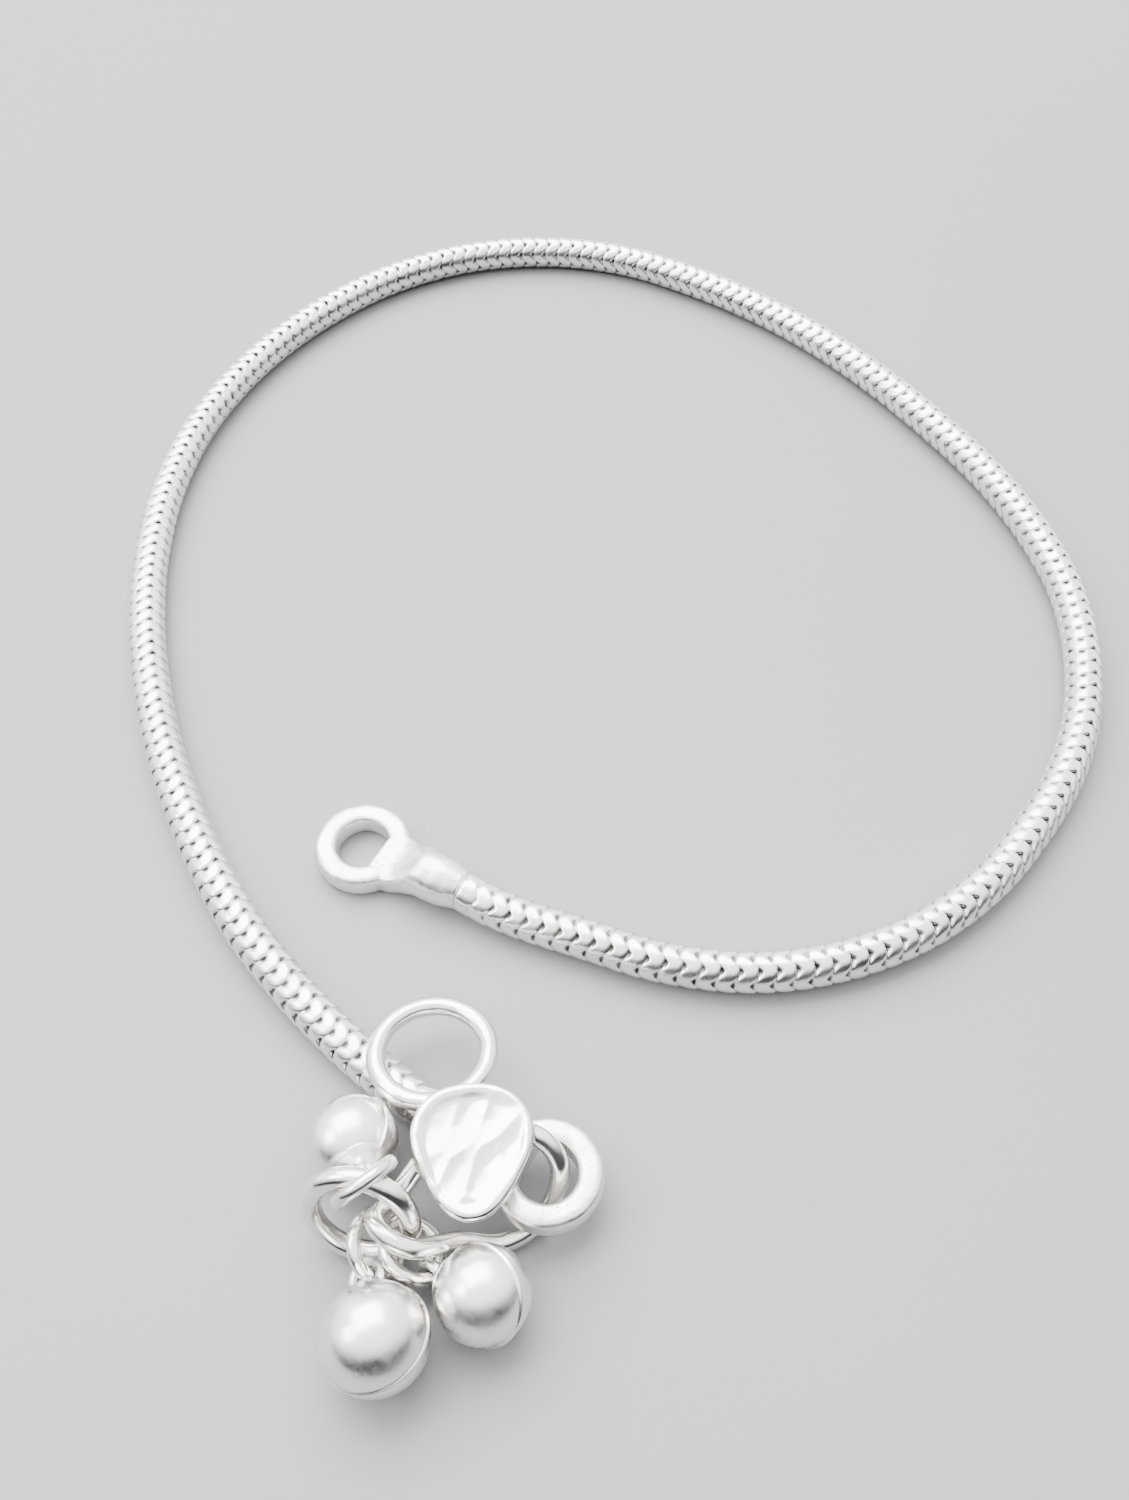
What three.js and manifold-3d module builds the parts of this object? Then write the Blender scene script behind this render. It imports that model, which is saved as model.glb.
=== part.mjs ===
// Payal anklet lying open on a flat surface: a round snake chain between two cast end rings,
// with a hook, its hammered plate, and three bells hung on a ring at the clasp end.
// Millimetres, +Z up, the surface at Z = 0, origin at the bottom centre of the anklet's box.
import * as THREE from "three";
import { mergeVertices } from "three/addons/utils/BufferGeometryUtils.js";
import Module from "manifold-3d";

const wasm = await Module();
wasm.setup();

// Chain sizes
const chainDiameter = 2.8;
const linkPitch = 1.2;
const grooveDepth = 0.2;
const zigzagHeight = 0.33;
const zigzagWaves = 4;
const chainSides = 12;

// End ring sizes: the chain's core goes into the ferrule's bore
const endRingOuter = 6.8;
const endRingHole = 3.6;
const endRingThickness = 1.8;
const endRingChamfer = 0.35;
const endRingReach = 8.3;
const ferruleDiameter = 3.1;
const ferruleWall = 0.4;
const collarHeight = 0.2;
const boreDepth = 2.5;
const clearance = 0.3;

// Hook, plate and ring sizes
const hookWire = 1.2;
const freeLoopDiameter = 8.2;
const plateWidth = 7.4;
const plateLength = 8.2;
const plateThickness = 1.3;
const bellRingDiameter = 7.3;
const bellRingWire = 1.3;
const jumpRingDiameter = 4.5;
const jumpRingWire = 0.7;

// Bell sizes, the diameters measured over the seam
const frontLeftBell = 6.4;
const frontRightBell = 5.8;
const backBell = 5.8;
const seamWidth = 0.3;
const seamHeight = 0.12;
const neckDiameter = 2.9;
const bailDiameter = 2.45;
const bailWire = 0.65;

// How finely round forms are cut: sides round a section, steps along or round a form
const wireSides = 6;
const hookSteps = 44;
const freeLoopSteps = 24;
const bellRingSides = 8;
const bellRingSteps = 18;
const jumpRingSteps = 14;
const bailSteps = 12;
const castingSides = 12;
const washerSteps = 24;
const ballSteps = 16;
const ballArcSteps = 5;
const plateSides = 18;

const silver = { color: 0xe6e1d8, roughness: 0.22, metalness: 1 };
const silverWorn = { color: 0xdcd6cc, roughness: 0.34, metalness: 1 };

// The chain's route on the surface, seen from above, from the plain end ring to the clasp
const chainRoute = [
  [-7.16, -12.98], [-5.5, -13.96], [-3.4, -15.0], [0.6, -16.6], [6.2, -18.7], [12.2, -19.6], [18.0, -18.9],
  [23.6, -16.8], [28.4, -13.5], [32.3, -9.4], [35.7, -4.8], [38.3, 0.6], [39.8, 6.8], [40.1, 13.4],
  [38.9, 20.0], [36.6, 26.6], [33.3, 33.0], [29.4, 39.3], [24.9, 45.2], [19.7, 50.5], [13.9, 55.0],
  [7.4, 58.7], [0.1, 60.5], [-7.7, 60.0], [-15.2, 57.0], [-21.8, 51.8], [-27.3, 44.9], [-31.2, 36.8],
  [-33.1, 28.4], [-33.4, 20.2], [-32.7, 12.9], [-31.4, 6.6], [-29.7, 0.8], [-27.6, -4.6], [-25.0, -10.0],
  [-22.1, -14.9], [-18.7, -19.3], [-15.3, -23.0], [-12.1, -26.0], [-10.2, -27.58], [-8.7, -28.58],
];

// The clasp's pieces as they lie: places from the middle of the clasp's end ring, heights from the surface.
// A ring's heading and climb are those of its own axis, a bell's those of the way from the ball to its bail.
const hookRoute = [
  [-5.7, 4.25, 4.37], [-4.6, 3.1, 4.7], [-2.75, 1.94, 4.96], [-0.54, 1.79, 4.61], [0.73, 0.67, 3.42],
  [0.68, -0.33, 2.13], [-0.01, -1.38, 0.81], [-1.12, -2.48, 0.71], [-2.93, -3.37, 0.77], [-5.31, -3.44, 2.21],
  [-7.81, -4.59, 4.02], [-10.0, -2.87, 4.26], [-9.1, -1.64, 3.43], [-6.98, 0.72, 4.71],
];
const freeLoopPlace = [-6.91, 7.49, 3.8];
const freeLoopTilt = -10;
const platePlace = [-4.33, 0.74, 5.05];
const plateTilt = 4;
const bellRingPlace = { at: [-10.76, -2.34, 3.69], heading: -103, climb: 22 };
const jumpRings = [
  { bell: "front_left", at: [-9.92, -3.53, 1.83], heading: -7, climb: 40 },
  { bell: "front_right", at: [-7.84, -3.85, 1.94], heading: 21, climb: 54 },
  { bell: "back", at: [-10.29, -1.33, 6.26], heading: -53, climb: -22 },
];
const bells = [
  {
    bell: "front_left", diameter: frontLeftBell, bailAt: [-10.36, -5.4, 2.07],
    heading: 102, climb: -17, roll: 70, seamTurn: 8,
  },
  {
    bell: "front_right", diameter: frontRightBell, bailAt: [-6.54, -5.19, 1.42],
    heading: 151, climb: -25, roll: 15, seamTurn: 34,
  },
  {
    bell: "back", diameter: backBell, bailAt: [-10.33, -0.5, 4.57],
    heading: -66, climb: 28, roll: 7, seamTurn: 111,
  },
];

const chainRadius = chainDiameter / 2;
const collarDiameter = ferruleDiameter + 2 * collarHeight;
const boreDiameter = ferruleDiameter - 2 * ferruleWall;
const coreDiameter = boreDiameter - 2 * clearance;
const UP = new THREE.Vector3(0, 0, 1);

const anklet = new THREE.Group();

function addMesh(parent, name, geometry, finish) {
  const mesh = new THREE.Mesh(geometry, new THREE.MeshStandardMaterial(finish));
  mesh.name = name;
  parent.add(mesh);
  return mesh;
}

// Solids and meshes

function toSolid(geometry) {
  const bare = geometry.clone();
  bare.deleteAttribute("normal");
  bare.deleteAttribute("uv");
  const merged = mergeVertices(bare, 1e-5);
  const mesh = new wasm.Mesh({
    numProp: 3,
    vertProperties: new Float32Array(merged.attributes.position.array),
    triVerts: new Uint32Array(merged.index.array),
  });
  return new wasm.Manifold(mesh);
}

function toGeometry(solid) {
  const mesh = solid.getMesh();
  const geometry = new THREE.BufferGeometry();
  geometry.setAttribute("position", new THREE.BufferAttribute(mesh.vertProperties, 3));
  geometry.setIndex(new THREE.BufferAttribute(mesh.triVerts, 1));
  return geometry;
}

function union(geometries) {
  const solids = geometries.map(toSolid);
  return solids.reduce((joined, solid) => joined.add(solid));
}

// A closed body through sections with equal numbers of points, closed at both ends
function loft(sections) {
  const sides = sections[0].length;
  const positions = sections.flat().flatMap((point) => [point.x, point.y, point.z]);
  const index = [];
  for (let row = 0; row < sections.length - 1; row++) {
    for (let side = 0; side < sides; side++) {
      const next = (side + 1) % sides;
      const a = row * sides + side;
      const b = row * sides + next;
      index.push(a, a + sides, b, b, a + sides, b + sides);
    }
  }
  const last = (sections.length - 1) * sides;
  for (let side = 1; side < sides - 1; side++) {
    index.push(0, side, side + 1);
    index.push(last, last + side + 1, last + side);
  }
  const geometry = new THREE.BufferGeometry();
  geometry.setAttribute("position", new THREE.Float32BufferAttribute(positions, 3));
  geometry.setIndex(index);
  return geometry;
}

// A regular polygon outline for a round wire
function wireOutline(diameter, sides) {
  const points = [];
  for (let side = 0; side < sides; side++) {
    const angle = (2 * Math.PI * side) / sides;
    points.push(new THREE.Vector2((Math.cos(angle) * diameter) / 2, (Math.sin(angle) * diameter) / 2));
  }
  return new THREE.Shape(points);
}

function wireAlong(points, diameter, sides, steps) {
  const path = new THREE.CatmullRomCurve3(points, false, "centripetal");
  return new THREE.ExtrudeGeometry(wireOutline(diameter, sides), { steps, extrudePath: path });
}

// A wire ring from its outside diameter, in the XY plane
function wireRing(outerDiameter, wire, sides, steps) {
  return new THREE.TorusGeometry((outerDiameter - wire) / 2, wire / 2, sides, steps);
}

// The turn that lays a thing's own X along one direction and its Z near another
function turnTo(along, normalHint) {
  const x = along.clone().normalize();
  const y = normalHint.clone().cross(x).normalize();
  const z = x.clone().cross(y);
  return new THREE.Quaternion().setFromRotationMatrix(new THREE.Matrix4().makeBasis(x, y, z));
}

// Snake chain: a groove ring and a crown ring to each link, both bent into a zigzag

function chainSection(curve, length, along, radius, wave) {
  const points = [];
  for (let side = 0; side < chainSides; side++) {
    const angle = (2 * Math.PI * side) / chainSides;
    const place = along + wave * Math.cos(zigzagWaves * angle);
    const share = THREE.MathUtils.clamp(place / length, 0, 1);
    const beyond = place - share * length;
    const tangent = curve.getTangentAt(share);
    const across = tangent.clone().cross(UP).normalize();
    const rise = across.clone().cross(tangent);
    const point = curve.getPointAt(share).addScaledVector(tangent, beyond);
    point.addScaledVector(across, radius * Math.cos(angle)).addScaledVector(rise, radius * Math.sin(angle));
    points.push(point);
  }
  return points;
}

function snakeChain(curve) {
  const length = curve.getLength();
  const links = Math.round((length - 2 * clearance) / linkPitch);
  const pitch = (length - 2 * clearance) / links;
  const coreRadius = coreDiameter / 2;
  const coreReach = boreDepth - clearance;
  const sections = [
    chainSection(curve, length, -coreReach, coreRadius, 0),
    chainSection(curve, length, clearance, coreRadius, 0),
    chainSection(curve, length, clearance, chainRadius - grooveDepth, 0),
  ];
  for (let link = 0; link < links; link++) {
    const start = clearance + link * pitch;
    const crownWave = link === 0 || link === links - 1 ? 0 : zigzagHeight;
    const grooveWave = link >= links - 2 ? 0 : zigzagHeight;
    sections.push(chainSection(curve, length, start + pitch / 2, chainRadius, crownWave));
    sections.push(chainSection(curve, length, start + pitch, chainRadius - grooveDepth, grooveWave));
  }
  sections.push(chainSection(curve, length, length - clearance, coreRadius, 0));
  sections.push(chainSection(curve, length, length + coreReach, coreRadius, 0));
  return loft(sections);
}

// End ring: a washer with a web and collar drawn out into a ferrule, its X pointing to the ferrule's mouth

function washer() {
  const inner = endRingHole / 2;
  const outer = endRingOuter / 2;
  const top = endRingThickness / 2;
  const cut = endRingChamfer;
  const profile = [
    [inner, -top + cut], [inner + cut, -top], [outer - cut, -top], [outer, -top + cut],
    [outer, top - cut], [outer - cut, top], [inner + cut, top], [inner, top - cut], [inner, -top + cut],
  ];
  const geometry = new THREE.LatheGeometry(profile.map(([x, y]) => new THREE.Vector2(x, y)), washerSteps);
  return geometry.rotateX(Math.PI / 2);
}

// The ferrule's axis lies this far above the washer's middle, so that both lie flat on the surface
const ferruleRise = (collarDiameter - endRingThickness) / 2;

// Sections from inside the washer's hole, which the web cuts off straight, to the ferrule's mouth.
// Half sizes; square is 1 for a round section and nears 0 for a rectangle.
function ferruleSections() {
  const half = endRingThickness / 2;
  const edge = endRingOuter / 2;
  const collar = collarDiameter / 2;
  const mouth = ferruleDiameter / 2;
  const past = (share) => THREE.MathUtils.lerp(edge, endRingReach, share);
  return [
    { x: endRingHole * 0.39, wide: collar * 0.86, high: half * 0.97, rise: 0, square: 0.42 },
    { x: edge * 0.84, wide: collar * 1.22, high: half * 0.98, rise: 0, square: 0.42 },
    { x: past(0.03), wide: collar * 1.08, high: half * 1.12, rise: ferruleRise * 0.16, square: 0.45 },
    { x: past(0.14), wide: collar, high: half * 1.4, rise: ferruleRise * 0.45, square: 0.64 },
    { x: past(0.25), wide: collar, high: collar * 0.88, rise: ferruleRise * 0.78, square: 0.82 },
    { x: past(0.36), wide: collar, high: collar, rise: ferruleRise, square: 1 },
    { x: past(0.66), wide: collar, high: collar, rise: ferruleRise, square: 1 },
    { x: past(0.87), wide: mouth, high: mouth, rise: ferruleRise, square: 1 },
    { x: endRingReach, wide: mouth, high: mouth, rise: ferruleRise, square: 1 },
  ];
}

function endRing() {
  const squared = (value, power) => Math.sign(value) * Math.abs(value) ** power;
  const sections = ferruleSections().map(({ x, wide, high, rise, square }) => {
    const points = [];
    for (let side = 0; side < castingSides; side++) {
      const angle = (2 * Math.PI * side) / castingSides;
      const y = -wide * squared(Math.cos(angle), square);
      const z = rise + high * squared(Math.sin(angle), square);
      points.push(new THREE.Vector3(x, y, z));
    }
    return points;
  });
  const bore = new THREE.CylinderGeometry(boreDiameter / 2, boreDiameter / 2, 2 * boreDepth, castingSides);
  bore.rotateZ(Math.PI / 2).translate(endRingReach, 0, ferruleRise);
  return toGeometry(union([washer(), loft(sections)]).subtract(toSolid(bore)));
}

// Bell: two half balls with a thin proud seam, drawn out on its X side into a neck under the soldered bail

// How far the bail's middle stands out past the ball's diameter
const bailOut = bailDiameter / 2 - bailWire * 0.9;

function bell(diameter, seamTurn) {
  const radius = diameter / 2 - seamHeight;
  const seamAngle = Math.asin(seamWidth / 2 / radius);
  const profile = [new THREE.Vector2(0, -radius)];
  for (let step = 1; step <= ballArcSteps; step++) {
    const angle = -Math.PI / 2 + ((Math.PI / 2 - seamAngle) * step) / ballArcSteps;
    profile.push(new THREE.Vector2(radius * Math.cos(angle), radius * Math.sin(angle)));
  }
  profile.push(new THREE.Vector2(diameter / 2, -seamWidth / 4));
  const upper = profile.map((point) => new THREE.Vector2(point.x, -point.y)).reverse();
  const ball = new THREE.LatheGeometry([...profile, ...upper], ballSteps);
  ball.rotateX(THREE.MathUtils.degToRad(seamTurn));

  // The neck leaves the ball where their widths meet and ends just under the bail's hole
  const neckStart = Math.sqrt(radius ** 2 - (neckDiameter / 2) ** 2);
  const neckEnd = diameter / 2 + bailOut - bailDiameter / 2 + bailWire * 0.8;
  const neck = new THREE.CylinderGeometry(bailWire, neckDiameter / 2, neckEnd - neckStart, castingSides);
  neck.rotateZ(-Math.PI / 2).translate((neckStart + neckEnd) / 2, 0, 0);

  const bail = wireRing(bailDiameter, bailWire, wireSides, bailSteps);
  bail.rotateX(Math.PI / 2).translate(diameter / 2 + bailOut, 0, 0);
  return toGeometry(union([ball, neck, bail]));
}

// Plate: a thick hammered shield, flat under, with a raised rim and shallow hammer facets on top

// Its outline: shares of its half sizes, as waves round it with their turn in degrees
const plateFill = 0.96;
const plateWaves = [
  { lobes: 1, share: 0.06, turn: 80 },
  { lobes: 2, share: -0.02, turn: 0 },
  { lobes: 3, share: 0.075, turn: 30 },
];

// Rows from the underside's middle over the rim to the top's middle: shares of the outline and the thickness,
// and how much of the hammer's facets they have
const plateRows = [
  { out: 0.62, up: 0, dented: 0 },
  { out: 0.94, up: 0.12, dented: 0 },
  { out: 1, up: 0.5, dented: 0 },
  { out: 0.96, up: 0.86, dented: 0 },
  { out: 0.86, up: 1, dented: 0.4 },
  { out: 0.74, up: 0.84, dented: 1 },
  { out: 0.36, up: 0.88, dented: 1 },
];
const hammerDepth = 0.09;
const hammerFacets = 5;

function plate() {
  const sections = plateRows.map(({ out, up, dented }, row) => {
    const points = [];
    for (let side = 0; side < plateSides; side++) {
      const angle = (-2 * Math.PI * side) / plateSides;
      let corner = plateFill;
      for (const { lobes, share, turn } of plateWaves) {
        corner += share * Math.cos(lobes * (angle - THREE.MathUtils.degToRad(turn)));
      }
      const x = (plateWidth / 2) * out * corner * Math.cos(angle);
      const y = (plateLength / 2) * out * corner * Math.sin(angle);
      const dent = dented * hammerDepth * Math.cos(hammerFacets * angle + 2 * row);
      points.push(new THREE.Vector3(x, y, (up - 0.5) * plateThickness + dent));
    }
    return points;
  });
  return loft(sections);
}

// Hook: one wire from the free loop, through the end ring and the bell ring, back under the soldered plate

function hookWithPlate() {
  const route = hookRoute.map((point) => new THREE.Vector3(...point));
  const wire = wireAlong(route, hookWire, wireSides, hookSteps);
  const freeLoop = wireRing(freeLoopDiameter, hookWire, wireSides, freeLoopSteps);
  freeLoop.rotateX(THREE.MathUtils.degToRad(freeLoopTilt)).translate(...freeLoopPlace);
  const top = plate().rotateX(THREE.MathUtils.degToRad(plateTilt)).translate(...platePlace);
  return toGeometry(union([wire, freeLoop, top]));
}

// The direction at a heading from +X and a climb from the surface, both in degrees
function direction(heading, climb) {
  const turn = THREE.MathUtils.degToRad(heading);
  const up = THREE.MathUtils.degToRad(climb);
  return new THREE.Vector3(Math.cos(turn) * Math.cos(up), Math.sin(turn) * Math.cos(up), Math.sin(up));
}

// Chain between the two ferrules: it rises a little from the surface to each of them

const ferruleHeight = collarDiameter / 2;
const climbPoints = 3;
const curveDivisions = 1200;
const chainPoints = chainRoute.map(([x, y], index) => {
  const fromEnd = Math.min(index, chainRoute.length - 1 - index);
  const climb = Math.max(0, 1 - fromEnd / climbPoints) ** 2;
  return new THREE.Vector3(x, y, chainRadius + (ferruleHeight - chainRadius) * climb);
});
const chainCurve = new THREE.CatmullRomCurve3(chainPoints, false, "centripetal");
chainCurve.arcLengthDivisions = curveDivisions;
addMesh(anklet, "snake_chain", snakeChain(chainCurve), silver);

// End rings in line with the chain's two ends: the plain one lies flat, the clasp's one is turned over

function addEndRing(name, share, sense, height, top) {
  const along = chainCurve.getTangentAt(share).setZ(0).normalize().multiplyScalar(sense);
  const centre = chainCurve.getPointAt(share).addScaledVector(along, -endRingReach);
  const ring = addMesh(anklet, name, endRing(), silverWorn);
  ring.position.set(centre.x, centre.y, height);
  ring.quaternion.copy(turnTo(along, top));
  return ring;
}

addEndRing("end_ring_plain", 0, 1, ferruleHeight - ferruleRise, UP);
const claspRing = addEndRing("end_ring_clasp", 1, -1, ferruleHeight + ferruleRise, UP.clone().negate());

// Clasp: hook, bell ring, jump rings and bells, placed from the middle of the clasp's end ring

const clasp = new THREE.Group();
clasp.position.set(claspRing.position.x, claspRing.position.y, 0);
anklet.add(clasp);
addMesh(clasp, "hook_with_plate", hookWithPlate(), silver);

function addRing(name, diameter, wire, sides, steps, { at, heading, climb }) {
  const ring = addMesh(clasp, name, wireRing(diameter, wire, sides, steps), silver);
  ring.position.set(...at);
  ring.quaternion.setFromUnitVectors(UP, direction(heading, climb));
}

addRing("bell_ring", bellRingDiameter, bellRingWire, bellRingSides, bellRingSteps, bellRingPlace);
for (const { bell: name, ...placing } of jumpRings) {
  addRing(`jump_ring_${name}`, jumpRingDiameter, jumpRingWire, wireSides, jumpRingSteps, placing);
}

// Each ball lies at the far end of its bail
for (const { bell: name, diameter, bailAt, heading, climb, roll, seamTurn } of bells) {
  const ball = addMesh(clasp, `bell_${name}`, bell(diameter, seamTurn), silverWorn);
  const along = direction(heading, climb);
  ball.position.set(...bailAt).addScaledVector(along, -(diameter / 2 + bailOut));
  ball.quaternion.copy(turnTo(along, UP));
  ball.rotateX(THREE.MathUtils.degToRad(roll));
}

// Origin: the bottom centre of the whole anklet's box
const box = new THREE.Box3().setFromObject(anklet, true);
const middle = box.getCenter(new THREE.Vector3());
anklet.position.set(-middle.x, -middle.y, -box.min.z);
anklet.updateMatrixWorld(true);

export default anklet;
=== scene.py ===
import math

import bpy
import numpy as np
from mathutils import Matrix, Vector, noise


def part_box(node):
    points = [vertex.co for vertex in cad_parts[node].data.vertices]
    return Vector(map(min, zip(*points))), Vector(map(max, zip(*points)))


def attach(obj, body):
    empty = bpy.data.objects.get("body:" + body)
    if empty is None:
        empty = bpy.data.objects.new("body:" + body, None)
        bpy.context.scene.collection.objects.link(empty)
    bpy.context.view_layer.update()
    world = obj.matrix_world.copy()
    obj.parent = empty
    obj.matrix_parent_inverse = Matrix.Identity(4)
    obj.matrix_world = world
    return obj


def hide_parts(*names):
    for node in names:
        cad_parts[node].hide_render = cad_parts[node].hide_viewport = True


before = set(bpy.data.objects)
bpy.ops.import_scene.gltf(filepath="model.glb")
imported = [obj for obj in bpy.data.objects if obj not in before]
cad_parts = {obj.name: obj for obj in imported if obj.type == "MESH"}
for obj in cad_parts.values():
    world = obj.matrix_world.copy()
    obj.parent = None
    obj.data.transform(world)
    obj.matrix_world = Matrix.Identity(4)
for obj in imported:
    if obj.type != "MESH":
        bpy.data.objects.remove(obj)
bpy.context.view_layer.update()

# Shapes are worked out in millimetres and turned into metres when a piece is made
MM = 0.001

# Camera: the photograph's, from its view of the floor point at the middle of the picture
PICTURE_HEIGHT = 1500
FOCAL_PIXELS = 1414
SENSOR_MM = 36
CAMERA_ELEVATION = math.radians(53.4)
CAMERA_ROLL = math.radians(1.76)
CAMERA_DISTANCE = 105.3

# Chain: its links' edges zigzag round it, with a thin groove between links and a pit at each turn of a zigzag
CHAIN_DIAMETER = 2.8
CORE_DIAMETER = 1.7
LINK_PITCH = 1.2
ZIGZAG_HEIGHT = 0.33
ZIGZAG_WAVES = 4
ZIGZAG_SHARPNESS = 0.95
DOME_HEIGHT = 0.012
GROOVE_DEPTH = 0.06
GROOVE_SHARE = 0.22
PIT_DEPTH = 0.27
PIT_LENGTH = 0.14
PIT_WIDTH = 0.27
PIT_OFFSET = 0.06
# How dark the grooves and pits are painted in the material: a painted shade, with some tarnish, in them
GROOVE_SHADE_AND_TARNISH = 0.3
PIT_SHADE_AND_TARNISH = 1.4
# Near each end the zigzag flattens over some links, and solder floods a share of the depth over some
FLAT_LINKS = 1.5
FLOODED_LINKS = 2.5
FLOODED_SHARE = 0.75
# Rows past each end of the chain, inside the ferrule: how far out, and the radius there
CHAIN_ENDS = ((0.05, CHAIN_DIAMETER / 2 - 0.12), (0.3, CORE_DIAMETER / 2))
# How far the lines of pits are turned about the chain at its start, and turn on along it, in degrees
LINE_TURN = -31
LINE_TWIST = 16
# Rows of points along each link, as shares of it, and round each line of pits, in degrees from it
LINK_ROWS = (0.0, 0.05, 0.12, 0.24, 0.41, 0.59, 0.76, 0.88, 0.95)
SECTOR_ANGLES = (-22.5, -13.0, -6.5, 0.0, 6.5, 13.0)

# End rings
END_RING_OUTER = 6.8
END_RING_HOLE = 3.6
END_RING_THICKNESS = 1.8
END_RING_REACH = 8.3
COLLAR_DIAMETER = 3.5
FERRULE_RISE = (COLLAR_DIAMETER - END_RING_THICKNESS) / 2
# Powers of a rounded square's cosine and sine: the ring's wire, and the web from the ring to the round collar
RING_SQUARENESS = 0.6
WEB_SQUARENESS = 0.42
# Sections along the ferrule, and rounds that ease the way from one to the next
FERRULE_STEPS = 70
FERRULE_EASING = 14

# Hook, its wire made of so many steps between the points of its route and eased so many times
HOOK_WIRE = 1.2
HOOK_STEPS = 16
HOOK_EASING = 40
FREE_LOOP_DIAMETER = 8.2
FREE_LOOP_TILT = math.radians(-10)

# Plate: its top's height is a share of half its thickness, and its rim is proud round a heading in radians
PLATE_WIDTH = 7.4
PLATE_LENGTH = 8.2
PLATE_THICKNESS = 1.3
PLATE_TILT = math.radians(4)
PLATE_SIDES = 96
PLATE_TOP_HEIGHT = 0.8
RIM_HEIGHT = 0.16
RIM_HEADING = 2.3
# Shares of the half sizes where the rim starts to rise, the hammer's facets end and the edge turns down
RIM_START = 0.74
HAMMERED_END = 0.9
ROUNDED_START = 0.93
ROUNDED_DEPTH = 0.1

# Rings and bells
BELL_RING_WIRE = 1.3
JUMP_RING_WIRE = 0.82
SEAM_WIDTH = 0.3
SEAM_HEIGHT = 0.12
BAIL_DIAMETER = 2.45
BAIL_WIRE = 0.65
# Share of the bail's wire that sinks into the ball, and where on the ball's radius the neck's height is 0
BAIL_SUNK = 0.9
NECK_PLACE = 0.85
# Thin lip of a half ball: out from the ball in seam heights, and away from the seam's middle in seam widths
SEAM_LIP = ((-0.03, 0.62), (-0.02, 0.5), (0.75, 0.34), (1.0, 0.16))

# Melting soldered and cast pieces together: size of the voxels and rounds of smoothing
CASTING_VOXEL = 0.09
CASTING_SMOOTHING = 9
HOOK_VOXEL = 0.085
NECK_VOXEL = 0.06
SOLDER_SMOOTHING = 4
# Low noise on the skin: height, scale and seed
CASTING_DENTS = ((0.03, 0.6, 5), (0.022, 1.6, 3))
HOOK_DENTS = (0.02, 1.1, 8)

# Steps round rings, and sides of wires and of the castings' sections
RING_STEPS = 120
WIRE_SIDES = 28
HOOK_SIDES = 24
WASHER_SIDES = 40
FERRULE_SIDES = 48

# The chain's route on the floor in its own frame, from the plain end ring to the clasp
CHAIN_ROUTE = [
    (-7.16, -12.98), (-5.5, -13.96), (-3.4, -15.0), (0.6, -16.6), (6.2, -18.7), (12.2, -19.6), (18.0, -18.9),
    (23.6, -16.8), (28.4, -13.5), (32.3, -9.4), (35.7, -4.8), (38.3, 0.6), (39.8, 6.8), (40.1, 13.4),
    (38.9, 20.0), (36.6, 26.6), (33.3, 33.0), (29.4, 39.3), (24.9, 45.2), (19.7, 50.5), (13.9, 55.0),
    (7.4, 58.7), (0.1, 60.5), (-7.7, 60.0), (-15.2, 57.0), (-21.8, 51.8), (-27.3, 44.9), (-31.2, 36.8),
    (-33.1, 28.4), (-33.4, 20.2), (-32.7, 12.9), (-31.4, 6.6), (-29.7, 0.8), (-27.6, -4.6), (-25.0, -10.0),
    (-22.1, -14.9), (-18.7, -19.3), (-15.3, -23.0), (-12.1, -26.0), (-10.2, -27.58), (-8.7, -28.58),
]

# The hook's wire from the middle of the clasp's end ring, heights from the floor
HOOK_ROUTE = [
    (-5.7, 4.25, 4.37), (-4.6, 3.1, 4.7), (-2.75, 1.94, 4.96), (-0.54, 1.79, 4.61), (0.73, 0.67, 3.42),
    (0.68, -0.33, 2.13), (-0.01, -1.38, 0.81), (-1.12, -2.48, 0.71), (-2.93, -3.37, 0.77),
    (-5.31, -3.44, 2.21), (-7.81, -4.59, 4.02), (-10.0, -2.87, 4.26), (-9.1, -1.64, 3.43),
    (-6.98, 0.72, 4.71),
]
FREE_LOOP_PLACE = (-6.91, 7.49, 3.8)
PLATE_PLACE = (-4.33, 0.74, 5.05)

# Bells: the ball's diameter over its seam, the way from the ball to its bail, the roll and the seam's turn
BELLS = {
    "bell_front_left": {"diameter": 6.4, "heading": 102, "climb": -17, "roll": 70, "seam_turn": 8},
    "bell_front_right": {"diameter": 5.8, "heading": 151, "climb": -25, "roll": 15, "seam_turn": 34},
    "bell_back": {"diameter": 5.8, "heading": -66, "climb": 28, "roll": 7, "seam_turn": 111},
}

UP = np.array([0.0, 0.0, 1.0])


# Curves

def unit(vector):
    return vector / np.linalg.norm(vector, axis=-1, keepdims=True)


def smooth_curve(points, steps=40):
    """Centripetal Catmull-Rom curve through the points, as many close points."""
    points = np.array(points, float)
    points = np.vstack([2 * points[0] - points[1], points, 2 * points[-1] - points[-2]])
    out = []
    share = np.linspace(0, 1, steps, endpoint=False)[:, None]
    for p0, p1, p2, p3 in zip(points[:-3], points[1:-2], points[2:-1], points[3:]):
        d0, d1, d2 = (math.sqrt(np.linalg.norm(b - a)) for a, b in ((p0, p1), (p1, p2), (p2, p3)))
        start = ((p1 - p0) / d0 - (p2 - p0) / (d0 + d1) + (p2 - p1) / d1) * d1
        end = ((p2 - p1) / d1 - (p3 - p1) / (d1 + d2) + (p3 - p2) / d2) * d1
        square = -3 * p1 + 3 * p2 - 2 * start - end
        cube = 2 * p1 - 2 * p2 + start + end
        out.append(p1 + start * share + square * share**2 + cube * share**3)
    return np.vstack(out + [points[-2][None]])


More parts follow.
